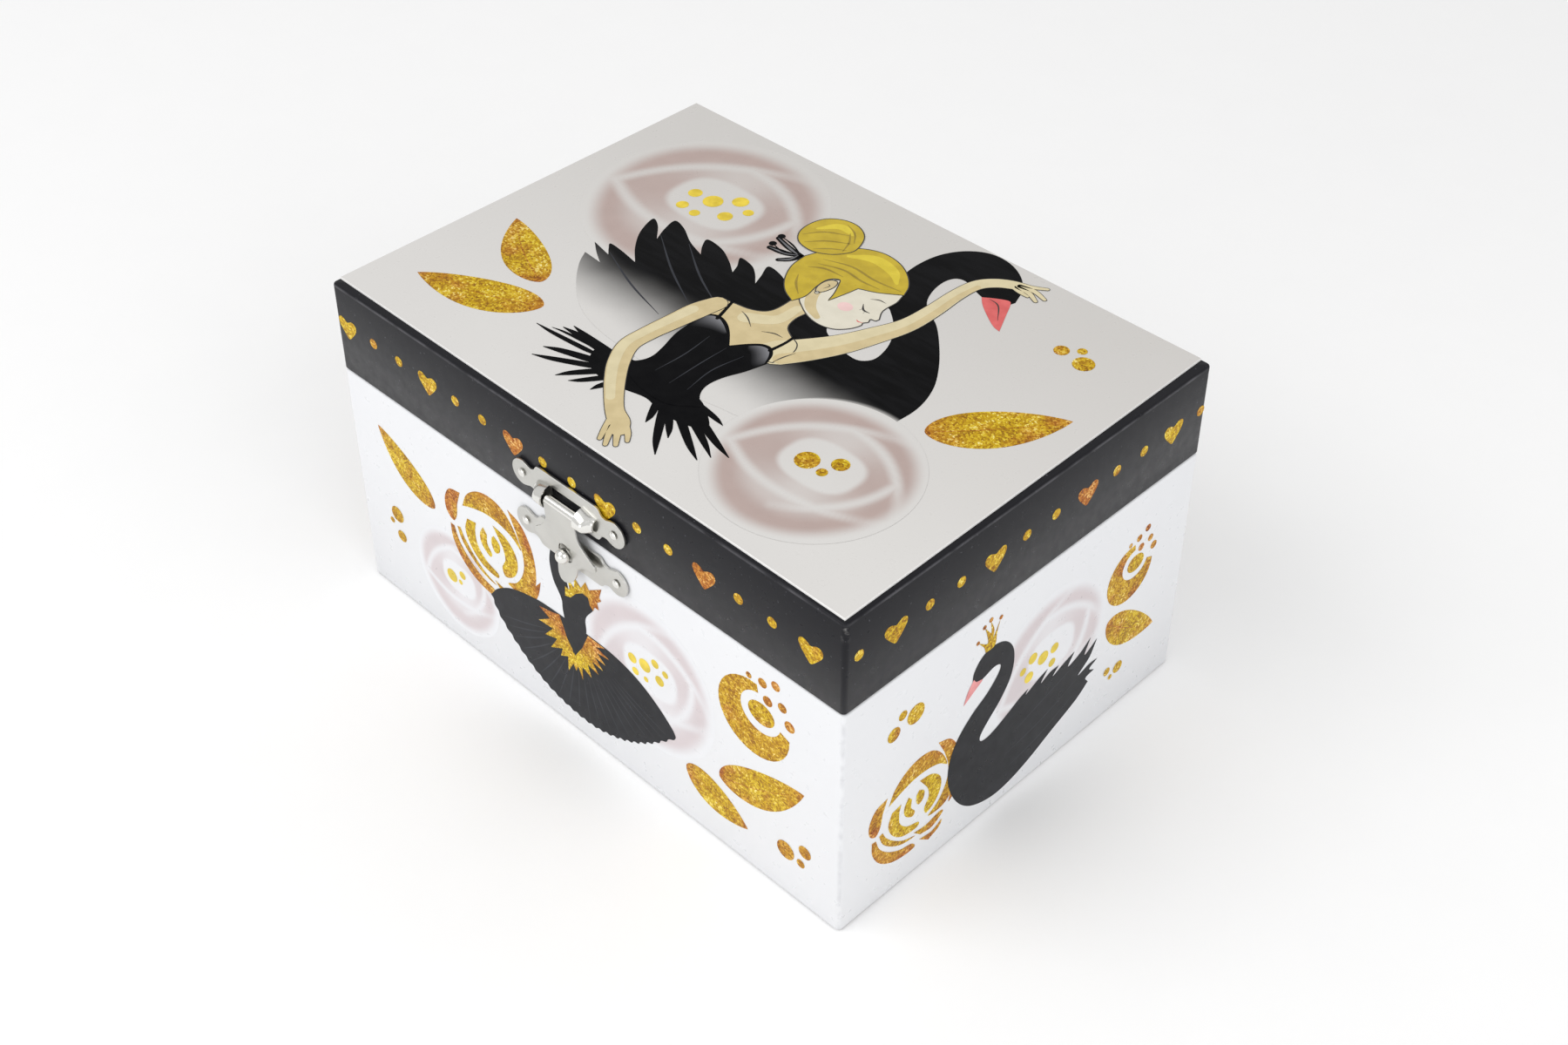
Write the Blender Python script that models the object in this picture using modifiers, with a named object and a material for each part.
"""Ballerina jewellery box: a paper-wrapped board box with a musical movement. Metres, +Z up.

The origin is the middle of the underside. +X runs along the length to the right, -Y is the
front with the latch, and +Y is the back with the hinge and the winding key.
"""

import math

import bmesh
import bpy
from mathutils import Matrix, Vector

MM = 0.001

# The case
LENGTH = 153.0 * MM
DEPTH = 109.0 * MM
HEIGHT = 84.5 * MM
SPLIT_Z = 61.0 * MM
BOARD = 3.0 * MM
LID_BOARD = 2.4 * MM
PAPER = 0.5 * MM
THIN_PAPER = 0.3 * MM
GAP = 0.3 * MM
CORNER = 1.5 * MM
RIM_FOLD = 10.0 * MM
HALF_X = LENGTH / 2
HALF_Y = DEPTH / 2
BOARD_X = HALF_X - PAPER - GAP
BOARD_Y = HALF_Y - PAPER - GAP
INSIDE_X = BOARD_X - BOARD
INSIDE_Y = BOARD_Y - BOARD
BASE_RIM_Z = SPLIT_Z - GAP / 2
LID_RIM_Z = SPLIT_Z + GAP / 2
LID_TOP_Z = HEIGHT - THIN_PAPER - GAP

# The compartments
SHELF_Z = 36.0 * MM
SHELF_BOARD = 2.5 * MM
SHELF_FRONT_Y = 8.0 * MM
PARTITION = 2.0 * MM
PAD = 1.0 * MM
DIVIDER_X = 20.0 * MM
DIVIDER_TOP_Z = 30.0 * MM
CUSHION_TOP_Z = 22.0 * MM
LINING = 1.2 * MM
MIRROR = 1.5 * MM
MIRROR_HALF_X = 45.0 * MM
MIRROR_HALF_Y = 38.0 * MM

# The latch, on the front
LATCH_X = 0.9 * MM
LATCH_SHEET = 0.5 * MM
LATCH_PLATE_Z = 67.8 * MM
KEEPER_Z = 55.0 * MM
LOBE_X = 14.0 * MM
LOBE_R = 3.1 * MM
HASP_Z = 67.0 * MM
HASP_Y = -HALF_Y - 2.1 * MM
HASP_ROLL_R = 1.25 * MM
HASP_ROLL_HALF = 4.6 * MM
HASP_PIN_R = 1.0 * MM
HASP_PIN_HALF = 7.7 * MM
HASP_LEAN = math.radians(5.5)
EYE_OUTER_R = 2.0 * MM
EYE_INNER_R = 1.45 * MM
EYE_NEAR = 4.9 * MM
EYE_FAR = 7.5 * MM
KNOB_R = 1.65 * MM
KNOB_NECK_R = 1.1 * MM
KNOB_REACH = 2.9 * MM
KNOB_HOLE_R = 2.0 * MM

# The long hinge, on the back
HINGE_Y = HALF_Y + 1.7 * MM
HINGE_Z = SPLIT_Z + 0.05 * MM
HINGE_HALF = 55.0 * MM
HINGE_KNUCKLES = 7
KNUCKLE_R = 1.5 * MM
KNUCKLE_BORE_R = 0.85 * MM
HINGE_PIN_R = 0.6 * MM
LEAF_WIDTH = 8.5 * MM
LEAF_SHEET = 0.5 * MM
HINGE_NAIL_X = (-46.0 * MM, 0.0, 46.0 * MM)
HINGE_NAIL_OFFSET = 5.3 * MM

# Nails and screws
NAIL_SHANK_R = 0.4 * MM
NAIL_HEAD_R = 1.0 * MM
NAIL_HEAD = 0.5 * MM
NAIL_LENGTH = 3.6 * MM
NAIL_HOLE_R = 0.75 * MM

# The musical movement, screwed inside the back board
MOVEMENT_Z = 24.0 * MM
BEDPLATE_Y = INSIDE_Y - GAP
BEDPLATE = 2.0 * MM
BEDPLATE_LEFT = -13.0 * MM
BEDPLATE_RIGHT = 45.0 * MM
BEDPLATE_BOTTOM = 5.0 * MM
BEDPLATE_TOP = 35.0 * MM
BARREL_R = 9.5 * MM
BARREL_WALL = 0.8 * MM
BARREL_FRONT_Y = 37.5 * MM
BARREL_BACK_Y = 47.5 * MM
CROWN_TEETH = 40
CROWN_TOOTH = 1.0 * MM
CROWN_TOOTH_WIDTH = 0.42 * MM
CYLINDER_Y = 33.4 * MM
CYLINDER_R = 6.0 * MM
CYLINDER_LEFT = 11.5 * MM
CYLINDER_RIGHT = 31.5 * MM
CYLINDER_SIDES = 30
TRACKS = 18
TRACKS_LEFT = 12.0 * MM
TRACKS_RIGHT = 31.0 * MM
TRACK_PITCH = (TRACKS_RIGHT - TRACKS_LEFT) / TRACKS
PIN_HEIGHT = 0.5 * MM
PIN_SIDE = 0.3 * MM
FIRST_PIN = math.radians(4)
COMB = 0.8 * MM
COMB_Y = CYLINDER_Y
PINION_TEETH = 16
CYLINDER_GEAR_TEETH = 36
WHEEL_PINION_TEETH = 12
FINE_MODULE = 0.4 * MM
WHEEL_Z = MOVEMENT_Z - FINE_MODULE * (CYLINDER_GEAR_TEETH + WHEEL_PINION_TEETH) / 2
WORM_WHEEL_TEETH = 20
WORM_STARTS = 2
WORM_R = 1.5 * MM
WORM_DEPTH = 0.33 * MM
WORM_HALF = 2.5 * MM
WORM_SIDES = 12
WORM_STEP = math.radians(24)
FLY_X = 37.9 * MM
FLY_Y = CYLINDER_Y - FINE_MODULE * WORM_WHEEL_TEETH / 2 - WORM_R
ARBOR_R = 1.5 * MM
FRAME_X = 42.5 * MM
LUG = 1.2 * MM
STOP_X = 47.0 * MM
STOP_Y = 44.0 * MM
STOP_ROD_R = 0.7 * MM
STOP_ARM_Z = 29.4 * MM

# The dancer
DANCER_Y = 24.5 * MM
DRIVE_TEETH = 16
DRIVE_R = 4.0 * MM
DRIVE_TOOTH_WIDTH = 0.42 * MM
SPINDLE_R = 1.0 * MM
TURNTABLE_Z = 39.6 * MM
SWAY_Z = 44.0 * MM
COIL_R = 2.2 * MM
COIL_WIRE_R = 0.28 * MM

# Each direction's rotation from +Z
FACING = {
    "X": Matrix.Rotation(math.pi / 2, 4, "Y"),
    "Y": Matrix.Rotation(-math.pi / 2, 4, "X"),
    "-Y": Matrix.Rotation(math.pi / 2, 4, "X"),
    "Z": Matrix.Identity(4),
}

PARTS = "ballerina_jewellery_box"
CUTTERS = "cutters"

COLOURS = {
    "board": ((0.50, 0.42, 0.33), 0.9, 0.0),
    "white_paper": ((0.86, 0.86, 0.88), 0.25, 0.0),
    "black_paper": ((0.035, 0.035, 0.042), 0.3, 0.0),
    "print_panel": ((0.72, 0.69, 0.67), 0.35, 0.0),
    "lining": ((0.55, 0.36, 0.38), 0.9, 0.0),
    "cushion": ((0.60, 0.42, 0.44), 0.9, 0.0),
    "mirror": ((0.90, 0.92, 0.93), 0.03, 1.0),
    "nickel": ((0.66, 0.64, 0.60), 0.25, 1.0),
    "zinc": ((0.45, 0.45, 0.46), 0.5, 1.0),
    "steel": ((0.50, 0.51, 0.53), 0.3, 1.0),
    "brass": ((0.72, 0.53, 0.22), 0.3, 1.0),
    "figure": ((0.85, 0.62, 0.50), 0.4, 0.0),
    "tulle": ((0.03, 0.03, 0.035), 0.8, 0.0),
}


# ---------------------------------------------------------------- tools

def clear_scene():
    for thing in list(bpy.data.objects):
        bpy.data.objects.remove(thing, do_unlink=True)


def collection(name):
    found = bpy.data.collections.get(name)
    if found is None:
        found = bpy.data.collections.new(name)
        bpy.context.scene.collection.children.link(found)
    return found


def material(name):
    found = bpy.data.materials.get(name)
    if found is None:
        colour, roughness, metallic = COLOURS[name]
        found = bpy.data.materials.new(name)
        found.use_nodes = True
        shader = found.node_tree.nodes["Principled BSDF"]
        shader.inputs["Base Color"].default_value = (*colour, 1.0)
        shader.inputs["Roughness"].default_value = roughness
        shader.inputs["Metallic"].default_value = metallic
    return found


def place(name, mesh, finish):
    """A new part from a mesh, with its material."""
    part = bpy.data.objects.new(name, mesh)
    collection(PARTS).objects.link(part)
    mesh.materials.clear()
    mesh.materials.append(material(finish))
    return part


def mesh_of(shape, name):
    bmesh.ops.recalc_face_normals(shape, faces=shape.faces)
    mesh = bpy.data.meshes.new(name)
    shape.to_mesh(mesh)
    shape.free()
    return mesh


def box(name, low, high, finish="board", corner=0.0):
    """A box between two corners; corner rounds its four upright edges."""
    low, high = Vector(low), Vector(high)
    size = high - low
    shape = bmesh.new()
    bmesh.ops.create_cube(shape, size=1.0)
    bmesh.ops.scale(shape, vec=size, verts=shape.verts)
    if corner:
        upright = [e for e in shape.edges if abs(e.verts[0].co.z - e.verts[1].co.z) > size.z / 2]
        bmesh.ops.bevel(
            shape, geom=upright, offset=corner, segments=4, profile=0.5, affect="EDGES"
        )
    part = place(name, mesh_of(shape, name), finish)
    part.location = (low + high) / 2
    return part


def turned(name, profile, start, facing, finish, sides=24):
    """A turned piece. The profile is (radius, height) pairs, from its far end back to its start."""
    mesh = bpy.data.meshes.new(name)
    points = [(radius, 0.0, height) for radius, height in profile]
    mesh.from_pydata(points, [(i, i + 1) for i in range(len(points) - 1)], [])
    part = place(name, mesh, finish)
    part.matrix_world = Matrix.Translation(start) @ FACING[facing]
    screw = part.modifiers.new("turn", "SCREW")
    screw.steps = sides
    screw.render_steps = sides
    screw.use_merge_vertices = True
    screw.merge_threshold = 0.00001
    screw.use_smooth_shade = True
    return part


def rod(name, start, length, radius, facing, finish, sides=24):
    """A plain round rod from its start along the direction it faces."""
    profile = ((0.0, length), (radius, length), (radius, 0.0), (0.0, 0.0))
    return turned(name, profile, start, facing, finish, sides)


def ring(name, start, length, outer, inner, facing, finish, sides=24):
    """A tube: an open-ended ring from its start along the direction it faces."""
    profile = (
        (inner, length),
        (outer, length),
        (outer, 0.0),
        (inner, 0.0),
        (inner, length),
    )
    return turned(name, profile, start, facing, finish, sides)


def meshed_curve(name, curve, finish):
    """The solid of a curve as a mesh part, with its end caps welded on."""
    guide = bpy.data.objects.new(name + "_curve", curve)
    collection(PARTS).objects.link(guide)
    bpy.context.view_layer.update()
    evaluated = guide.evaluated_get(bpy.context.evaluated_depsgraph_get())
    mesh = bpy.data.meshes.new_from_object(evaluated)
    shape = bmesh.new()
    shape.from_mesh(mesh)
    bmesh.ops.remove_doubles(shape, verts=shape.verts, dist=0.000002)
    bmesh.ops.recalc_face_normals(shape, faces=shape.faces)
    shape.to_mesh(mesh)
    shape.free()
    bpy.data.objects.remove(guide, do_unlink=True)
    return place(name, mesh, finish)


def flat(name, outline, thickness, finish):
    """A flat piece: a closed outline in local XY, with its thickness centred on it."""
    curve = bpy.data.curves.new(name, "CURVE")
    curve.dimensions = "2D"
    curve.fill_mode = "BOTH"
    curve.extrude = thickness / 2
    spline = curve.splines.new("POLY")
    spline.points.add(len(outline) - 1)
    for point, (x, y) in zip(spline.points, outline):
        point.co = (x, y, 0.0, 1.0)
    spline.use_cyclic_u = True
    return meshed_curve(name, curve, finish)


def wire(name, points, radius, finish, resolution=2):
    """A round wire through a list of points."""
    curve = bpy.data.curves.new(name, "CURVE")
    curve.dimensions = "3D"
    curve.bevel_depth = radius
    curve.bevel_resolution = resolution
    curve.use_fill_caps = True
    spline = curve.splines.new("POLY")
    spline.points.add(len(points) - 1)
    for point, place_at in zip(spline.points, points):
        point.co = (*place_at, 1.0)
    return meshed_curve(name, curve, finish)


def combine(part, other, operation):
    """Joins another shape to a part, or cuts it away, and puts it with the cutters."""
    modifier = part.modifiers.new(other.name, "BOOLEAN")
    modifier.operation = operation
    modifier.solver = "EXACT"
    modifier.object = other
    other.hide_render = True
    other.display_type = "WIRE"
    if other.name in collection(PARTS).objects:
        collection(PARTS).objects.unlink(other)
        collection(CUTTERS).objects.link(other)


def join(part, *others):
    for other in others:
        combine(part, other, "UNION")


def cut(part, *others):
    for other in others:
        combine(part, other, "DIFFERENCE")


def move(part, location, facing="Z", turn=0.0):
    """Puts a part built about the origin where it belongs, turned first about its own axis."""
    spin = Matrix.Rotation(turn, 4, "Z")
    part.matrix_world = Matrix.Translation(location) @ FACING[facing] @ spin


def pivot(name, location, parent=None):
    """An empty on a joint's axis."""
    empty = bpy.data.objects.new(name, None)
    collection(PARTS).objects.link(empty)
    empty.empty_display_size = 5 * MM
    empty.location = Vector(location)
    if parent is not None:
        empty.parent = parent
        empty.location -= world_place(parent)
    return empty


def world_place(empty):
    place_at = empty.location.copy()
    if empty.parent is not None:
        place_at += world_place(empty.parent)
    return place_at


def carry(empty, *parts):
    """Makes parts follow a pivot, where they stand."""
    for part in parts:
        part.parent = empty
        part.matrix_parent_inverse = Matrix.Translation(-world_place(empty))


def arc(centre, radius, start, end, steps):
    """Points along an arc, with its angles in degrees."""
    points = []
    for i in range(steps + 1):
        angle = math.radians(start + (end - start) * i / steps)
        points.append(
            (centre[0] + radius * math.cos(angle), centre[1] + radius * math.sin(angle))
        )
    return points


def gear_outline(teeth, root, tip, share, phase=0.0):
    """A gear's outline: tapered teeth whose width at the middle is a share of the pitch."""
    pitch = 2 * math.pi / teeth
    points = []
    for i in range(teeth):
        centre = i * pitch + phase
        for radius, width in ((root, 1.35), (tip, 0.65), (tip, -0.65), (root, -1.35)):
            angle = centre - width * share * pitch / 2
            points.append((radius * math.cos(angle), radius * math.sin(angle)))
    return points


def crown(name, count, inner, outer, low, high, width, finish, phase=0.0):
    """A ring of upright square teeth about local Z, from low to high."""
    shape = bmesh.new()
    for i in range(count):
        made = bmesh.ops.create_cube(shape, size=1.0)["verts"]
        bmesh.ops.scale(shape, vec=(outer - inner, width, high - low), verts=made)
        middle = ((inner + outer) / 2, 0.0, (low + high) / 2)
        bmesh.ops.translate(shape, vec=middle, verts=made)
        turn = Matrix.Rotation(2 * math.pi * i / count + phase, 3, "Z")
        bmesh.ops.rotate(shape, cent=(0, 0, 0), matrix=turn, verts=made)
    return place(name, mesh_of(shape, name), finish)


# ---------------------------------------------------------------- case

def base_boards():
    top = BASE_RIM_Z - THIN_PAPER - GAP
    bottom = BOARD + GAP
    side_y = INSIDE_Y - GAP
    return {
        "bottom": box("base_bottom_board", (-BOARD_X, -BOARD_Y, 0), (BOARD_X, BOARD_Y, BOARD)),
        "front": box(
            "base_front_board", (-BOARD_X, -BOARD_Y, bottom), (BOARD_X, -INSIDE_Y, top)
        ),
        "back": box("base_back_board", (-BOARD_X, INSIDE_Y, bottom), (BOARD_X, BOARD_Y, top)),
        "left": box(
            "base_left_board", (-BOARD_X, -side_y, bottom), (-INSIDE_X, side_y, top)
        ),
        "right": box("base_right_board", (INSIDE_X, -side_y, bottom), (BOARD_X, side_y, top)),
    }


def lid_boards():
    top = LID_TOP_Z - THIN_PAPER - GAP
    wall_top = top - LID_BOARD - GAP
    bottom = LID_RIM_Z + THIN_PAPER + GAP
    side_y = INSIDE_Y - GAP
    return {
        "top": box(
            "lid_top_board", (-BOARD_X, -BOARD_Y, top - LID_BOARD), (BOARD_X, BOARD_Y, top)
        ),
        "front": box(
            "lid_front_board", (-BOARD_X, -BOARD_Y, bottom), (BOARD_X, -INSIDE_Y, wall_top)
        ),
        "back": box(
            "lid_back_board", (-BOARD_X, INSIDE_Y, bottom), (BOARD_X, BOARD_Y, wall_top)
        ),
        "left": box(
            "lid_left_board", (-BOARD_X, -side_y, bottom), (-INSIDE_X, side_y, wall_top)
        ),
        "right": box(
            "lid_right_board", (INSIDE_X, -side_y, bottom), (BOARD_X, side_y, wall_top)
        ),
    }


def wrap(name, low, high, floor_fold, finish):
    """Paper round the four walls of a box, folded over its edges; floor_fold is the lower one."""
    paper = box(name, (-HALF_X, -HALF_Y, low), (HALF_X, HALF_Y, high), finish, CORNER)
    inner_x = HALF_X - PAPER
    inner_y = HALF_Y - PAPER
    fold = THIN_PAPER if floor_fold else -THIN_PAPER
    cut(
        paper,
        box(
            name + "_inside",
            (-inner_x, -inner_y, low + fold),
            (inner_x, inner_y, high - THIN_PAPER),
            finish,
            CORNER - PAPER,
        ),
    )
    return paper


def rim_opening(paper, low, high, inset_x, inset_y):
    """Cuts the opening that a folded edge leaves."""
    cutter = box(
        f"{paper.name}_opening_{len(paper.modifiers)}",
        (-inset_x, -inset_y, low),
        (inset_x, inset_y, high),
    )
    cut(paper, cutter)


def base_paper():
    paper = wrap("base_wrap", GAP, BASE_RIM_Z, False, "white_paper")
    rim_opening(paper, SPLIT_Z - 5 * MM, SPLIT_Z + 5 * MM, INSIDE_X, INSIDE_Y)
    return paper


def lid_paper():
    paper = wrap("lid_wrap", LID_RIM_Z, LID_TOP_Z, True, "black_paper")
    rim_opening(paper, SPLIT_Z - 5 * MM, SPLIT_Z + 5 * MM, INSIDE_X, INSIDE_Y)
    rim_opening(
        paper, LID_TOP_Z - 2 * MM, HEIGHT + 2 * MM, HALF_X - RIM_FOLD, HALF_Y - RIM_FOLD
    )
    return paper


def print_panel():
    """The printed sheet: its corners sit slightly unevenly on the lid."""
    left = -HALF_X + 0.5 * MM
    outline = (
        (left, HALF_Y - 0.5 * MM),
        (left, -HALF_Y + 2.1 * MM),
        (HALF_X - 1.0 * MM, -HALF_Y + 0.8 * MM),
        (HALF_X - 2.4 * MM, HALF_Y - 0.5 * MM),
    )
    panel = flat("lid_print_panel", outline, THIN_PAPER, "print_panel")
    move(panel, (0, 0, HEIGHT - THIN_PAPER / 2))
    return panel


def lid_inside():
    """The card behind the mirror, the mirror, and the block that presses the stop rod."""
    ceiling = LID_TOP_Z - THIN_PAPER - GAP - LID_BOARD - GAP
    card_low = ceiling - LINING
    glass_high = card_low - GAP
    reach_x = INSIDE_X - GAP
    reach_y = INSIDE_Y - GAP
    card = box(
        "lid_lining", (-reach_x, -reach_y, card_low), (reach_x, reach_y, ceiling), "lining"
    )
    glass = box(
        "mirror",
        (-MIRROR_HALF_X, -MIRROR_HALF_Y, glass_high - MIRROR),
        (MIRROR_HALF_X, MIRROR_HALF_Y, glass_high),
        "mirror",
        3 * MM,
    )
    block = box(
        "lid_stop_block",
        (STOP_X - 4 * MM, STOP_Y - 3.5 * MM, LID_RIM_Z + GAP),
        (STOP_X + 4 * MM, reach_y, card_low - GAP),
        "lining",
    )
    return card, glass, block


# ---------------------------------------------------------------- compartments

def compartments():
    reach_x = INSIDE_X - GAP
    reach_y = INSIDE_Y - GAP
    floor = BOARD + GAP
    pad_top = floor + PAD
    standing = pad_top + GAP
    front_of_partition = SHELF_FRONT_Y - GAP
    shelf = box(
        "tray_shelf",
        (-reach_x, SHELF_FRONT_Y, SHELF_Z),
        (reach_x, reach_y, SHELF_Z + SHELF_BOARD),
        "lining",
    )
    cut(
        shelf,
        rod("bush_hole", (0, DANCER_Y, SHELF_Z - MM), 5 * MM, 2.8 * MM, "Z", "lining"),
        rod("stop_rod_hole", (STOP_X, STOP_Y, SHELF_Z - MM), 5 * MM, 1.2 * MM, "Z", "lining"),
    )
    box(
        "tray_partition",
        (-reach_x, SHELF_FRONT_Y, floor),
        (reach_x, SHELF_FRONT_Y + PARTITION, SHELF_Z - GAP),
        "lining",
    )
    box(
        "tray_floor_pad",
        (-reach_x, -reach_y, floor),
        (reach_x, front_of_partition, pad_top),
        "lining",
    )
    box(
        "tray_divider",
        (DIVIDER_X - PARTITION / 2, -reach_y, standing),
        (DIVIDER_X + PARTITION / 2, front_of_partition, DIVIDER_TOP_Z),
        "lining",
    )
    ring_cushion(
        DIVIDER_X + PARTITION / 2 + GAP, reach_x, -reach_y, front_of_partition, standing
    )


def ring_cushion(left, right, front, back, bottom):
    """A foam block with three round-topped rolls, as an outline in YZ drawn out along X."""
    rolls = 3
    width = (back - front) / rolls
    radius = width / 2 - 0.4 * MM
    outline = [(front, bottom), (back, bottom)]
    for i in reversed(range(rolls)):
        centre = front + (i + 0.5) * width
        outline += arc((centre, CUSHION_TOP_Z - radius), radius, 0, 180, 8)
    cushion = flat("ring_cushion", outline, right - left, "cushion")
    cushion.matrix_world = (
        Matrix.Translation(((left + right) / 2, 0, 0))
        @ Matrix.Rotation(math.pi / 2, 4, "Z")
        @ Matrix.Rotation(math.pi / 2, 4, "X")
    )


# ---------------------------------------------------------------- nails

def nail(name, point, facing, finish="nickel"):
    """A small nail whose domed head faces outwards; point is under its head."""
    head = [
        (NAIL_HEAD_R * math.sin(angle), NAIL_HEAD * math.cos(angle))
        for angle in (math.radians(a) for a in (0, 35, 65, 90))
    ]
    shank = [(NAIL_SHANK_R, 0.0), (NAIL_SHANK_R, -NAIL_LENGTH + MM), (0.0, -NAIL_LENGTH)]
    return turned(name, head + shank, point, facing, finish, 12)


def nail_hole(name, point, facing, targets):
    start = Vector(point) + FACING[facing] @ Vector((0, 0, -NAIL_LENGTH - GAP))
    hole = rod(
        name, start, NAIL_LENGTH + 2 * MM, NAIL_HOLE_R, facing, "nickel", 12
    )
    cut_all(hole, targets)


def cut_all(cutter, targets):
    for target in targets:
        cut(target, cutter)


# ---------------------------------------------------------------- latch

def lobed_outline(half_middle):
    """A latch plate's outline: a broad middle that steps down to a round lobe at each end."""
    neck = 2.4 * MM
    edge = 9.0 * MM
    shoulder = 10.4 * MM
    start = math.degrees(math.asin(neck / LOBE_R))
    quarter = [(edge, -half_middle), (shoulder, -neck)]
    right = quarter + arc((LOBE_X, 0), LOBE_R, start - 180, 180 - start, 16)
    right += [(shoulder, neck), (edge, half_middle)]
    return right + [(-x, -y) for x, y in right]


def on_front(part, x, y, z):
    """Stands a flat piece on the front, with its local X along X and its local Y up."""
    part.matrix_world = Matrix.Translation((x, y, z)) @ Matrix.Rotation(math.pi / 2, 4, "X")


def latch_plate(wrap_paper, board):
    plate_y = -HALF_Y - GAP - LATCH_SHEET / 2
    plate = flat("latch_plate", lobed_outline(4.2 * MM), LATCH_SHEET, "nickel")
    on_front(plate, LATCH_X, plate_y, LATCH_PLATE_Z)
    for side in (-1, 1):
        near = LATCH_X + side * EYE_NEAR
        far = LATCH_X + side * EYE_FAR
        left, right = min(near, far), max(near, far)
        strap = rod(
            f"eye_round_{side}", (left, HASP_Y, HASP_Z), right - left, EYE_OUTER_R, "X", "nickel"
        )
        leg = box(
            f"eye_leg_{side}",
            (left, HASP_Y, HASP_Z - EYE_OUTER_R),
            (right, plate_y, HASP_Z + EYE_OUTER_R),
            "nickel",
        )
        join(plate, strap, leg)
    bore = rod(
        "eye_bore", (LATCH_X - 10 * MM, HASP_Y, HASP_Z), 20 * MM, EYE_INNER_R, "X", "nickel"
    )
    window = box(
        "latch_window",
        (LATCH_X - EYE_NEAR, plate_y - MM, HASP_Z - 1.6 * MM),
        (LATCH_X + EYE_NEAR, plate_y + MM, HASP_Z + 2.2 * MM),
    )
    cut(plate, bore, window)
    nails = lobe_nails("latch", LATCH_PLATE_Z, (plate, wrap_paper, board))
    return [plate, *nails]


def lobe_nails(name, z, targets):
    """The nails through a latch plate's two lobes."""
    nails = []
    for side, sign in (("left", -1), ("right", 1)):
        point = (LATCH_X + sign * LOBE_X, -HALF_Y - GAP - LATCH_SHEET - GAP, z)
        nail_hole(f"{name}_hole_{side}", point, "-Y", targets)
        nails.append(nail(f"{name}_nail_{side}", point, "-Y"))
    return nails


def latch_keeper(wrap_paper, board):
    keeper_y = -HALF_Y - GAP - LATCH_SHEET / 2
    keeper = flat("latch_keeper", lobed_outline(3.9 * MM), LATCH_SHEET, "nickel")
    on_front(keeper, LATCH_X, keeper_y, KEEPER_Z)
    reach = KNOB_REACH - GAP - LATCH_SHEET / 2
    meet = math.degrees(math.asin(KNOB_NECK_R / KNOB_R))
    ball = [
        (KNOB_R * math.sin(angle), reach + KNOB_R * math.cos(angle))
        for angle in (math.radians((180 - meet) * i / 8) for i in range(9))
    ]
    knob = turned(
        "keeper_knob",
        ball + [(KNOB_NECK_R, 0.0), (0.0, 0.0)],
        (LATCH_X, keeper_y, KEEPER_Z),
        "-Y",
        "nickel",
        20,
    )
    join(keeper, knob)
    lobe_nails("keeper", KEEPER_Z, (keeper, wrap_paper, board))


def hasp():
    """The swinging leaf: neck, two side lobes and a curled tongue, under a rolled top edge."""
    tongue = 3.0 * MM
    half = [
        (4.6 * MM, 0.3 * MM),
        (4.6 * MM, -3.4 * MM),
        (5.3 * MM, -5.6 * MM),
        (6.8 * MM, -7.8 * MM),
        (8.7 * MM, -9.3 * MM),
    ]
    half += arc((8.2 * MM, -10.4 * MM), 1.2 * MM, 60, -75, 5)
    half += [(6.4 * MM, -12.3 * MM), (4.4 * MM, -13.4 * MM), (tongue, -14.8 * MM)]
    half += arc((0, -15.7 * MM), tongue, 0, -80, 5)
    outline = half + [(0, -15.7 * MM - tongue)] + [(-x, y) for x, y in reversed(half)]
    leaf = flat("hasp_leaf", outline, LATCH_SHEET, "nickel")
    curl_tongue(leaf.data)
    offset = HASP_ROLL_R - LATCH_SHEET / 2
    leaf.matrix_world = (
        Matrix.Translation((LATCH_X, HASP_Y, HASP_Z))
        @ Matrix.Rotation(HASP_LEAN, 4, "X")
        @ Matrix.Translation((0, -offset, 0))
        @ Matrix.Rotation(math.pi / 2, 4, "X")
    )
    start = Vector((LATCH_X, HASP_Y, HASP_Z))
    piece = rod(
        "latch_hasp",
        start - Vector((HASP_ROLL_HALF, 0, 0)),
        2 * HASP_ROLL_HALF,
        HASP_ROLL_R,
        "X",
        "nickel",
    )
    pin = rod(
        "hasp_pin", start - Vector((HASP_PIN_HALF, 0, 0)), 2 * HASP_PIN_HALF, HASP_PIN_R, "X",
        "nickel",
    )
    hole = rod(
        "knob_hole", (LATCH_X, -HALF_Y + MM, KEEPER_Z + 0.1 * MM), 8 * MM, KNOB_HOLE_R, "-Y",
        "nickel",
    )
    join(piece, leaf, pin)
    cut(piece, hole)
    return piece


def curl_tongue(mesh):
    """Bends the end of the leaf outwards, after cutting it into short steps."""
    shape = bmesh.new()
    shape.from_mesh(mesh)
    start = -14.0 * MM
    for i in range(4):
        everything = [*shape.verts, *shape.edges, *shape.faces]
        bmesh.ops.bisect_plane(
            shape, geom=everything, plane_co=(0, start - i * 1.1 * MM, 0), plane_no=(0, 1, 0)
        )
    for vertex in shape.verts:
        below = max(0.0, start - vertex.co.y)
        vertex.co.z += 1.6 * MM * (below / (4.7 * MM)) ** 2
    shape.to_mesh(mesh)
    shape.free()


# ---------------------------------------------------------------- hinge

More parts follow.
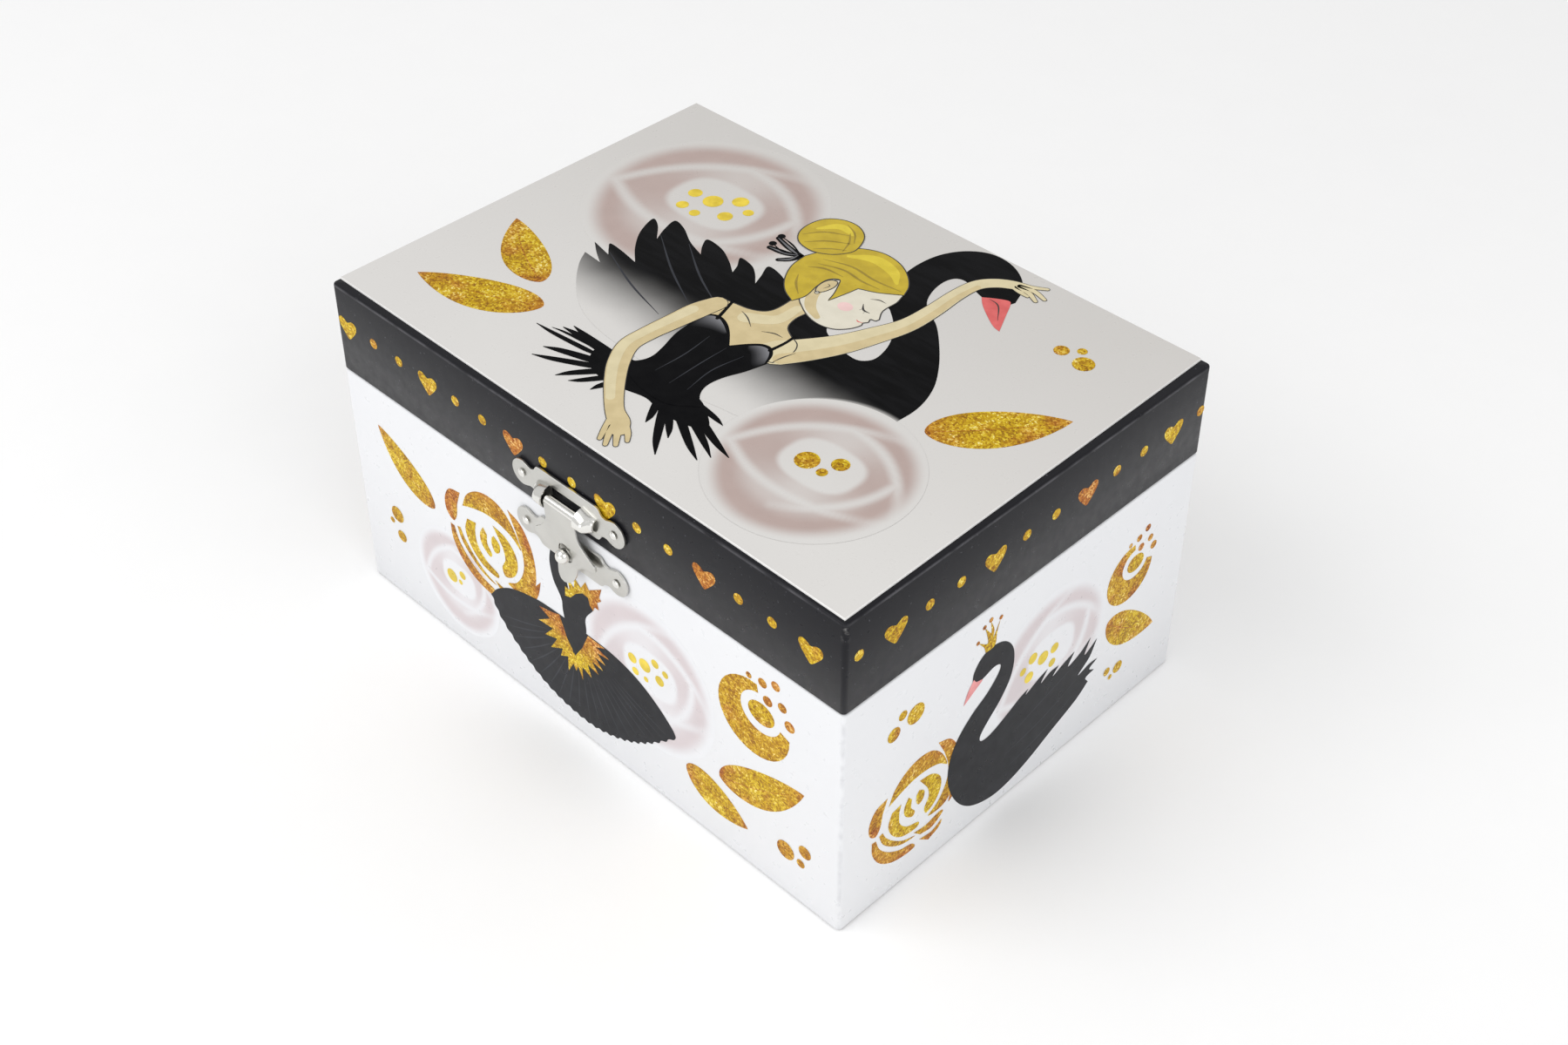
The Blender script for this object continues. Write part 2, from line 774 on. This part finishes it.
def hinge_leaf(name, below, wrap_paper, board):
    """One leaf of the long hinge, with every other knuckle; below says which side of the axis."""
    sign = -1 if below else 1
    inner = HINGE_Z + sign * 1.85 * MM
    outer = HINGE_Z + sign * LEAF_WIDTH
    near_y = HALF_Y + GAP
    far_y = near_y + LEAF_SHEET
    leaf = box(
        name,
        (-HINGE_HALF, near_y, min(inner, outer)),
        (HINGE_HALF, far_y, max(inner, outer)),
        "nickel",
    )
    pitch = 2 * HINGE_HALF / HINGE_KNUCKLES
    for i in range(0 if below else 1, HINGE_KNUCKLES, 2):
        left = -HINGE_HALF + i * pitch + GAP / 2
        length = pitch - GAP
        tab_end = HINGE_Z + sign * 0.65 * MM
        tab = box(
            f"{name}_tab_{i}",
            (left, near_y, min(inner + sign * MM, tab_end)),
            (left + length, far_y, max(inner + sign * MM, tab_end)),
            "nickel",
        )
        tube = ring(
            f"{name}_knuckle_{i}",
            (left, HINGE_Y, HINGE_Z),
            length,
            KNUCKLE_R,
            KNUCKLE_BORE_R,
            "X",
            "nickel",
            16,
        )
        join(leaf, tab, tube)
    side = "base" if below else "lid"
    nails = []
    for i, x in enumerate(HINGE_NAIL_X, start=1):
        point = (x, far_y + GAP, HINGE_Z + sign * HINGE_NAIL_OFFSET)
        nail_hole(f"hinge_{side}_hole_{i}", point, "Y", (leaf, wrap_paper, board))
        nails.append(nail(f"hinge_{side}_nail_{i}", point, "Y"))
    return [leaf, *nails]


def hinge_pin():
    return rod(
        "hinge_pin", (-HINGE_HALF, HINGE_Y, HINGE_Z), 2 * HINGE_HALF, HINGE_PIN_R, "X", "steel",
        12,
    )


# ---------------------------------------------------------------- movement

def bedplate(board):
    """The cast plate on the back board, with a boss for the comb and two bearing lugs."""
    front = BEDPLATE_Y - BEDPLATE
    plate = box(
        "movement_bedplate",
        (BEDPLATE_LEFT, front, BEDPLATE_BOTTOM),
        (BEDPLATE_RIGHT, BEDPLATE_Y, BEDPLATE_TOP),
        "zinc",
    )
    inset = 0.5 * MM
    boss = box(
        "comb_boss",
        (12 * MM, COMB_Y + COMB / 2 + GAP, 5.6 * MM),
        (31 * MM, front + inset, 10.5 * MM),
        "zinc",
    )
    left_lug = box(
        "left_lug",
        (9.9 * MM, 31.2 * MM, MOVEMENT_Z - 2.2 * MM),
        (9.9 * MM + LUG, front + inset, MOVEMENT_Z + 2.2 * MM),
        "zinc",
    )
    right_lug = box(
        "right_lug",
        (32.0 * MM, 31.2 * MM, WHEEL_Z - 2.0 * MM),
        (32.0 * MM + LUG, front + inset, MOVEMENT_Z + 2.2 * MM),
        "zinc",
    )
    join(plate, boss, left_lug, right_lug)
    across = 30 * MM
    cut(
        plate,
        rod("arbor_hole", (0, front - MM, MOVEMENT_Z), 5 * MM, 2.0 * MM, "Y", "zinc"),
        rod("cylinder_bore", (8 * MM, CYLINDER_Y, MOVEMENT_Z), across, 1.1 * MM, "X", "zinc"),
        rod("wheel_bore", (31 * MM, CYLINDER_Y, WHEEL_Z), 3 * MM, 0.9 * MM, "X", "zinc"),
    )
    for side, x in (("left", -10.5 * MM), ("right", 38.0 * MM)):
        point = Vector((x, front - GAP, 31.6 * MM))
        hole = rod(f"movement_hole_{side}", point, 5.2 * MM, 1.5 * MM, "Y", "zinc")
        cut(plate, hole)
        cut(board, hole)
        screw(f"movement_screw_{side}", point, 4.9 * MM, 2.0 * MM, 1.2 * MM)


def screw(name, seat, length, head_r, shank_r):
    """A screw driven along +Y; its slotted head stands in front of its seat."""
    head = 0.9 * MM
    profile = (
        (0.0, head),
        (head_r - 0.2 * MM, head),
        (head_r, head - 0.2 * MM),
        (head_r, 0.0),
        (shank_r, 0.0),
        (shank_r, -length),
        (0.0, -length),
    )
    piece = turned(name, profile, seat, "-Y", "steel", 16)
    slot = box(
        name + "_slot",
        (seat.x - head_r - MM, seat.y - 2 * MM, seat.z - 0.25 * MM),
        (seat.x + head_r + MM, seat.y - head + 0.35 * MM, seat.z + 0.25 * MM),
    )
    cut(piece, slot)
    return piece


def comb():
    """The steel comb: a plate whose teeth reach up to the pinned cylinder."""
    base, root, tip = 5.8 * MM, 10.8 * MM, 17.1 * MM
    slot = 0.36 * MM
    outline = [(TRACKS_LEFT, base), (TRACKS_RIGHT, base)]
    for i in reversed(range(TRACKS)):
        a = TRACKS_LEFT + i * TRACK_PITCH + slot / 2
        b = TRACKS_LEFT + (i + 1) * TRACK_PITCH - slot / 2
        outline += [(b, root), (b, tip), (a, tip), (a, root)]
    plate = flat("comb", outline, COMB, "steel")
    on_front(plate, 0, COMB_Y, 0)
    boss_front = COMB_Y + COMB / 2 + GAP
    for side, x in (("left", 16.0 * MM), ("right", 27.0 * MM)):
        seat = Vector((x, COMB_Y - COMB / 2 - GAP, 8.2 * MM))
        hole = rod(f"comb_hole_{side}", seat, 8 * MM, 1.1 * MM, "Y", "steel", 16)
        cut(plate, hole)
        cut(bpy.data.objects["movement_bedplate"], hole)
        screw(f"comb_screw_{side}", seat, boss_front - seat.y + 4 * MM, 1.6 * MM, 0.8 * MM)


def barrel():
    """The spring barrel: a drum with crown teeth, and a hub with the dancer's drive pinion."""
    depth = BARREL_BACK_Y - BARREL_FRONT_Y
    hub_r, hub_bore = 2.4 * MM, 1.8 * MM
    hub_front = BARREL_FRONT_Y - 27.0 * MM
    wall = MM
    profile = (
        (0.0, hub_front),
        (hub_r, hub_front),
        (hub_r, 0.0),
        (BARREL_R, 0.0),
        (BARREL_R, -depth),
        (BARREL_R - BARREL_WALL, -depth),
        (BARREL_R - BARREL_WALL, -wall),
        (hub_bore, -wall),
        (hub_bore, hub_front - 4 * MM),
        (0.0, hub_front - 4 * MM),
    )
    drum = turned(
        "spring_barrel", profile, (0, BARREL_FRONT_Y, MOVEMENT_Z), "-Y", "brass", 40
    )
    teeth = crown(
        "barrel_crown",
        CROWN_TEETH,
        BARREL_R - 1.5 * MM,
        BARREL_R - 0.05 * MM,
        -0.3 * MM,
        CROWN_TOOTH,
        CROWN_TOOTH_WIDTH,
        "brass",
        math.pi / CROWN_TEETH,
    )
    move(teeth, (0, BARREL_FRONT_Y, MOVEMENT_Z), "-Y")
    drive = flat(
        "drive_pinion",
        gear_outline(DRIVE_TEETH, 3.35 * MM, 4.4 * MM, 0.31, math.pi / DRIVE_TEETH),
        2.4 * MM,
        "brass",
    )
    move(drive, (0, DANCER_Y + DRIVE_R, MOVEMENT_Z), "Y")
    join(drum, teeth, drive)
    return drum


def mainspring():
    """The coiled steel strip inside the barrel, from its arbor hub out to the drum."""
    turns, inner, outer, strip, width = 4, 2.6 * MM, 8.2 * MM, 0.4 * MM, 8.0 * MM
    steps = turns * 16
    inside, outside = [], []
    for i in range(steps + 1):
        angle = 2 * math.pi * turns * i / steps
        radius = inner + (outer - inner) * i / steps
        direction = Vector((math.cos(angle), math.sin(angle)))
        inside.append(tuple(direction * (radius - strip / 2)))
        outside.append(tuple(direction * (radius + strip / 2)))
    coil = flat("mainspring", outside + inside[::-1], width, "steel")
    move(coil, (0, BARREL_FRONT_Y + MM + 0.5 * MM + width / 2, MOVEMENT_Z), "Y")
    return coil


def cylinder():
    """The pinned cylinder on its arbor, with the barrel's pinion and the governor's gear."""
    arbor_left, arbor_right = 7.2 * MM, 38.0 * MM - 1.6 * MM
    axis = Vector((0, CYLINDER_Y, MOVEMENT_Z))
    drum = rod(
        "music_cylinder",
        axis + Vector((CYLINDER_LEFT, 0, 0)),
        CYLINDER_RIGHT - CYLINDER_LEFT,
        CYLINDER_R,
        "X",
        "brass",
        CYLINDER_SIDES,
    )
    arbor = rod(
        "cylinder_arbor", axis + Vector((arbor_left, 0, 0)), arbor_right - arbor_left, 0.8 * MM,
        "X", "steel", 16,
    )
    pinion_r = (BARREL_R - 0.75 * MM) * PINION_TEETH / CROWN_TEETH
    pinion = flat(
        "cylinder_pinion",
        gear_outline(PINION_TEETH, pinion_r - 0.5 * MM, pinion_r + 0.35 * MM, 0.28),
        1.4 * MM,
        "brass",
    )
    move(pinion, axis + Vector((8.75 * MM, 0, 0)), "X")
    gear_r = FINE_MODULE * CYLINDER_GEAR_TEETH / 2
    gear = flat(
        "cylinder_gear",
        gear_outline(CYLINDER_GEAR_TEETH, gear_r - 0.5 * MM, gear_r + 0.3 * MM, 0.34),
        1.4 * MM,
        "brass",
    )
    move(gear, axis + Vector((34.8 * MM, 0, 0)), "X")
    join(drum, cylinder_pins(axis), arbor, pinion, gear)
    return drum


def cylinder_pins(axis):
    """A pin on each track, spread round the cylinder by the golden angle."""
    golden = math.pi * (3 - math.sqrt(5))
    shape = bmesh.new()
    for track in range(TRACKS):
        made = bmesh.ops.create_cube(shape, size=1.0)["verts"]
        bmesh.ops.scale(shape, vec=(2 * PIN_HEIGHT, PIN_SIDE, PIN_SIDE), verts=made)
        along = TRACKS_LEFT + (track + 0.5) * TRACK_PITCH
        bmesh.ops.translate(shape, vec=(CYLINDER_R, 0, along), verts=made)
        turn = Matrix.Rotation(FIRST_PIN + golden * track, 3, "Z")
        bmesh.ops.rotate(shape, cent=(0, 0, 0), matrix=turn, verts=made)
    pins = place("cylinder_pins", mesh_of(shape, "cylinder_pins"), "steel")
    move(pins, axis, "X")
    return pins


def governor_wheel():
    """A pinion driven by the cylinder's gear, and the worm wheel that drives the fly."""
    axis = Vector((0, CYLINDER_Y, WHEEL_Z))
    arbor = rod(
        "governor_wheel", axis + Vector((31.6 * MM, 0, 0)), 11.8 * MM, 0.6 * MM, "X", "brass", 12
    )
    pinion_r = FINE_MODULE * WHEEL_PINION_TEETH / 2
    pinion = flat(
        "wheel_pinion",
        gear_outline(
            WHEEL_PINION_TEETH,
            pinion_r - 0.5 * MM,
            pinion_r + 0.3 * MM,
            0.32,
            math.pi / WHEEL_PINION_TEETH,
        ),
        1.8 * MM,
        "brass",
    )
    move(pinion, axis + Vector((34.8 * MM, 0, 0)), "X")
    wheel_r = FINE_MODULE * WORM_WHEEL_TEETH / 2
    wheel = flat(
        "worm_wheel",
        gear_outline(WORM_WHEEL_TEETH, wheel_r - 0.5 * MM, wheel_r + 0.25 * MM, 0.28),
        0.8 * MM,
        "brass",
    )
    move(wheel, axis + Vector((FLY_X, 0, 0)), "X")
    join(arbor, pinion, wheel)
    return arbor


def governor_fly():
    """The air brake: a shaft with a two-start worm, a vane and a small brake disc on top."""
    axis = Vector((FLY_X, FLY_Y, 0))
    shaft = rod("governor_fly", axis + Vector((0, 0, 4.2 * MM)), 24.9 * MM, 0.5 * MM, "Z",
                "steel", 12)
    disc = rod("brake_disc", axis + Vector((0, 0, 28.2 * MM)), 0.9 * MM, 2.1 * MM, "Z",
               "steel", 16)
    vane = box(
        "vane",
        (FLY_X - 4.0 * MM, FLY_Y - 0.25 * MM, 5.3 * MM),
        (FLY_X + 4.0 * MM, FLY_Y + 0.25 * MM, 9.3 * MM),
        "steel",
    )
    join(shaft, worm(axis), disc, vane)
    return shaft


def worm(axis):
    """A two-start worm: a lobed section that turns as it rises."""
    lead = WORM_STARTS * math.pi * FINE_MODULE
    levels = round(4 * math.pi * WORM_HALF / (lead * WORM_STEP))
    points = []
    for level in range(levels + 1):
        height = (2 * level / levels - 1) * WORM_HALF
        twist = 2 * math.pi * height / lead
        for i in range(WORM_SIDES):
            angle = 2 * math.pi * i / WORM_SIDES
            lobe = max(0.0, math.cos(WORM_STARTS * angle)) ** 3
            radius = WORM_R - WORM_DEPTH + 2 * WORM_DEPTH * lobe
            points.append(
                (radius * math.cos(angle + twist), radius * math.sin(angle + twist), height)
            )
    faces = [range(WORM_SIDES), range(levels * WORM_SIDES, (levels + 1) * WORM_SIDES)]
    for start in range(0, levels * WORM_SIDES, WORM_SIDES):
        for i in range(WORM_SIDES):
            here = start + i
            beside = start + (i + 1) % WORM_SIDES
            faces.append((here, beside, beside + WORM_SIDES, here + WORM_SIDES))
    mesh = bpy.data.meshes.new("worm")
    mesh.from_pydata(points, [], faces)
    shape = bmesh.new()
    shape.from_mesh(mesh)
    bpy.data.meshes.remove(mesh)
    piece = place("worm", mesh_of(shape, "worm"), "steel")
    piece.location = (axis.x, axis.y, WHEEL_Z)
    return piece


def governor_frame():
    """The bracket that holds the fly and the wheel, with a guide for the stop rod."""
    back = BEDPLATE_Y - BEDPLATE - GAP
    front = FLY_Y - 2.5 * MM
    low, high = 3.8 * MM, 27.2 * MM
    arm = 1.1 * MM
    frame = box(
        "governor_frame", (FRAME_X, front, low), (FRAME_X + LUG, back, high), "zinc"
    )
    arm_left = FLY_X - 2.2 * MM
    inset = 0.3 * MM
    lower_arm = box(
        "lower_arm", (arm_left, front, low), (FRAME_X + inset, FLY_Y + 2.2 * MM, low + arm), "zinc"
    )
    upper_arm = box(
        "upper_arm", (arm_left, front, high - arm), (FRAME_X + inset, FLY_Y + 2.2 * MM, high),
        "zinc",
    )
    foot = box(
        "frame_foot", (37.0 * MM, back - MM, 17.0 * MM), (FRAME_X + inset, back, 26.0 * MM),
        "zinc",
    )
    guide = box(
        "rod_guide",
        (FRAME_X + LUG - inset, STOP_Y - 2.5 * MM, 18.5 * MM),
        (STOP_X + 2.5 * MM, STOP_Y + 2.5 * MM, 20.0 * MM),
        "zinc",
    )
    join(frame, lower_arm, upper_arm, foot, guide)
    cut(
        frame,
        rod("fly_bore", (FLY_X, FLY_Y, 4.0 * MM), 26 * MM, 0.8 * MM, "Z", "zinc", 16),
        rod("wheel_bearing", (41 * MM, CYLINDER_Y, WHEEL_Z), 5 * MM, 0.9 * MM, "X", "zinc", 16),
        rod("guide_bore", (STOP_X, STOP_Y, 17 * MM), 5 * MM, 1.0 * MM, "Z", "zinc", 16),
    )


def winding():
    """The arbor through the barrel and the butterfly key on its outer end."""
    axis = Vector((0, 0, MOVEMENT_Z))
    arbor_start = 31.8 * MM
    key_start = HALF_Y + 1.2 * MM
    arbor_end = key_start + 5.0 * MM
    arbor = rod(
        "winding_arbor", axis + Vector((0, arbor_start, 0)), arbor_end - arbor_start, ARBOR_R,
        "Y", "steel", 20,
    )
    hub = rod("winding_key", axis + Vector((0, key_start, 0)), 8.0 * MM, 2.6 * MM, "Y", "nickel")
    wing_r = 4.2 * MM
    wing_x = 5.0 * MM
    outline = arc((wing_x, 0), wing_r, -150, 150, 20)
    outline += [(-x, -y) for x, y in outline]
    wings = flat("key_wings", outline, 1.3 * MM, "nickel")
    reach = key_start + 8.6 * MM
    wings.matrix_world = Matrix.Translation((0, reach, MOVEMENT_Z))
    bore = rod(
        "key_bore", axis + Vector((0, key_start - MM, 0)), MM + 5.0 * MM + GAP,
        ARBOR_R + GAP, "Y", "nickel",
    )
    join(hub, wings)
    cut(hub, bore)
    return arbor, hub


def stop_rod():
    """The rod that the closed lid holds down, with an arm over the brake disc."""
    rod_piece = rod(
        "stop_rod",
        (STOP_X, STOP_Y, 16.5 * MM),
        BASE_RIM_Z - 16.5 * MM,
        STOP_ROD_R,
        "Z",
        "steel",
        12,
    )
    arm_width = 1.6 * MM
    rod_end = Vector((STOP_X, STOP_Y))
    disc_end = Vector((FLY_X + 0.6 * MM, FLY_Y + 0.9 * MM))
    along = disc_end - rod_end
    outline = [
        (0.0, -1.3 * MM),
        (along.length, -arm_width / 2),
        (along.length, arm_width / 2),
        (0.0, 1.3 * MM),
        (-1.3 * MM, 0.0),
    ]
    arm = flat("stop_arm", outline, MM, "steel")
    place_at = (STOP_X, STOP_Y, STOP_ARM_Z + 0.5 * MM)
    move(arm, place_at, "Z", math.atan2(along.y, along.x))
    join(rod_piece, arm)
    return rod_piece


def coil(name, centre, low, high, radius, wire_r, turns, finish):
    """A round-wire spring about an upright axis."""
    steps = turns * 10
    points = []
    for i in range(steps + 1):
        angle = 2 * math.pi * turns * i / steps
        height = low + wire_r + (high - low - 2 * wire_r) * i / steps
        points.append(
            (centre[0] + radius * math.cos(angle), centre[1] + radius * math.sin(angle), height)
        )
    return wire(name, points, wire_r, finish, 1)


# ---------------------------------------------------------------- dancer

def spindle():
    """The upright shaft: crown wheel below the shelf, turntable disc above it."""
    crown_low = MOVEMENT_Z + 3.55 * MM
    disc_low = MOVEMENT_Z + 4.6 * MM
    profile = (
        (0.0, 1.0 * MM),
        (5.0 * MM, 1.0 * MM),
        (5.0 * MM, 0.0),
        (SPINDLE_R, 0.0),
        (SPINDLE_R, disc_low + 1.6 * MM - TURNTABLE_Z),
        (5.0 * MM, disc_low + 1.6 * MM - TURNTABLE_Z),
        (5.0 * MM, disc_low - TURNTABLE_Z),
        (SPINDLE_R, disc_low - TURNTABLE_Z),
        (SPINDLE_R, 27.0 * MM - TURNTABLE_Z),
        (0.0, 27.0 * MM - TURNTABLE_Z),
    )
    shaft = turned(
        "dancer_spindle", profile, (0, DANCER_Y, TURNTABLE_Z), "Z", "brass", 32
    )
    teeth = crown(
        "spindle_crown", DRIVE_TEETH, DRIVE_R - 0.6 * MM, DRIVE_R + 0.6 * MM, crown_low,
        disc_low + 0.3 * MM, DRIVE_TOOTH_WIDTH, "brass",
    )
    move(teeth, (0, DANCER_Y, 0))
    join(shaft, teeth)
    return shaft


def spindle_bush():
    """The flanged bush in the shelf; its flange rests on the shelf's top."""
    top = SHELF_Z + SHELF_BOARD + GAP
    flange = 0.5 * MM
    profile = (
        (1.4 * MM, flange),
        (4.2 * MM, flange),
        (4.2 * MM, 0.0),
        (2.5 * MM, 0.0),
        (2.5 * MM, -SHELF_BOARD - MM),
        (1.4 * MM, -SHELF_BOARD - MM),
        (1.4 * MM, flange),
    )
    turned("spindle_bush", profile, (0, DANCER_Y, top), "Z", "brass", 24)


def dancer():
    """The moulded figure, on its points, with both arms raised."""
    centre = Vector((0, DANCER_Y, 0))
    profile = [
        (0.0, 69.2),
        (0.75, 69.0),
        (0.75, 67.6),
        (1.9, 66.8),
        (2.0, 65.6),
        (1.35, 63.2),
        (1.5, 62.0),
        (2.2, 60.4),
        (2.0, 59.0),
        (1.1, 57.6),
        (0.9, 53.5),
        (0.7, 50.0),
        (0.6, 47.6),
        (2.3, 47.5),
        (2.3, 46.8),
        (1.2, 46.8),
        (1.2, 42.0),
        (0.0, 42.0),
    ]
    body = turned(
        "dancer_body", [(r * MM, z * MM) for r, z in profile], centre, "Z", "figure", 16
    )
    head = sphere("dancer_head", centre + Vector((0, 0, 71.0 * MM)), 2.2 * MM)
    bun = sphere("dancer_bun", centre + Vector((0, 1.5 * MM, 72.6 * MM)), 1.2 * MM)
    arms = []
    for side in (-1, 1):
        route = [(1.5, 66.6), (3.2, 68.4), (4.0, 71.0), (3.4, 73.8), (1.6, 75.6)]
        points = [centre + Vector((side * x * MM, 0, z * MM)) for x, z in route]
        arms.append(wire(f"dancer_arm_{side}", points, 0.55 * MM, "figure", 1))
    leg = wire(
        "dancer_raised_leg",
        [
            centre + Vector((x * MM, y * MM, z * MM))
            for x, y, z in ((0.9, 0, 59.2), (3.6, -1.2, 56.2), (2.0, -0.8, 53.8), (0.5, 0, 52.0))
        ],
        0.75 * MM,
        "figure",
        1,
    )
    join(body, head, bun, *arms, leg)
    return body


def sphere(name, centre, radius):
    shape = bmesh.new()
    bmesh.ops.create_uvsphere(shape, u_segments=16, v_segments=10, radius=radius)
    piece = place(name, mesh_of(shape, name), "figure")
    piece.location = centre
    return piece


def tutu():
    """The skirt: a shallow stiff ring round the hips."""
    profile = [
        (2.6, 61.6),
        (6.0, 61.8),
        (10.0, 61.0),
        (9.8, 60.2),
        (6.0, 60.5),
        (2.6, 60.4),
        (2.6, 61.6),
    ]
    return turned(
        "dancer_tutu", [(r * MM, z * MM) for r, z in profile], (0, DANCER_Y, 0), "Z", "tulle", 24
    )


# ---------------------------------------------------------------- assembly

def build():
    clear_scene()
    base = base_boards()
    base_wrap = base_paper()
    compartments()
    spindle_bush()
    latch_keeper(base_wrap, base["front"])
    hinge_leaf("hinge_base_leaf", True, base_wrap, base["back"])
    key_hole = rod(
        "key_hole", (0, INSIDE_Y - MM, MOVEMENT_Z), 7 * MM, 2.6 * MM, "Y", "board"
    )
    cut_all(key_hole, (base["back"], base_wrap))

    lid_axis = pivot("lid_axis", (0, HINGE_Y, HINGE_Z))
    lid = lid_boards()
    lid_wrap = lid_paper()
    carry(lid_axis, *lid.values(), lid_wrap, print_panel(), *lid_inside(), hinge_pin())
    carry(lid_axis, *hinge_leaf("hinge_lid_leaf", False, lid_wrap, lid["back"]))
    carry(lid_axis, *latch_plate(lid_wrap, lid["front"]))
    hasp_axis = pivot("hasp_axis", (LATCH_X, HASP_Y, HASP_Z), lid_axis)
    carry(hasp_axis, hasp())

    bedplate(base["back"])
    comb()
    governor_frame()
    carry(pivot("barrel_axis", (0, BARREL_FRONT_Y, MOVEMENT_Z)), barrel(), mainspring())
    carry(pivot("key_axis", (0, HALF_Y, MOVEMENT_Z)), *winding())
    carry(pivot("cylinder_axis", (CYLINDER_LEFT, CYLINDER_Y, MOVEMENT_Z)), cylinder())
    carry(pivot("wheel_axis", (FLY_X, CYLINDER_Y, WHEEL_Z)), governor_wheel())
    carry(pivot("fly_axis", (FLY_X, FLY_Y, WHEEL_Z)), governor_fly())
    stop_spring = coil(
        "stop_rod_spring", (STOP_X, STOP_Y), 20.3 * MM, 29.1 * MM, 1.6 * MM, 0.25 * MM, 5, "steel"
    )
    carry(pivot("stop_rod_axis", (STOP_X, STOP_Y, STOP_ARM_Z)), stop_rod(), stop_spring)

    spindle_axis = pivot("spindle_axis", (0, DANCER_Y, TURNTABLE_Z))
    dancer_spring = coil(
        "dancer_spring", (0, DANCER_Y), 40.9 * MM, 46.0 * MM, COIL_R, COIL_WIRE_R, 4, "steel"
    )
    carry(spindle_axis, spindle(), dancer_spring)
    sway_axis = pivot("sway_axis", (0, DANCER_Y, SWAY_Z), spindle_axis)
    carry(sway_axis, dancer(), tutu())


build()
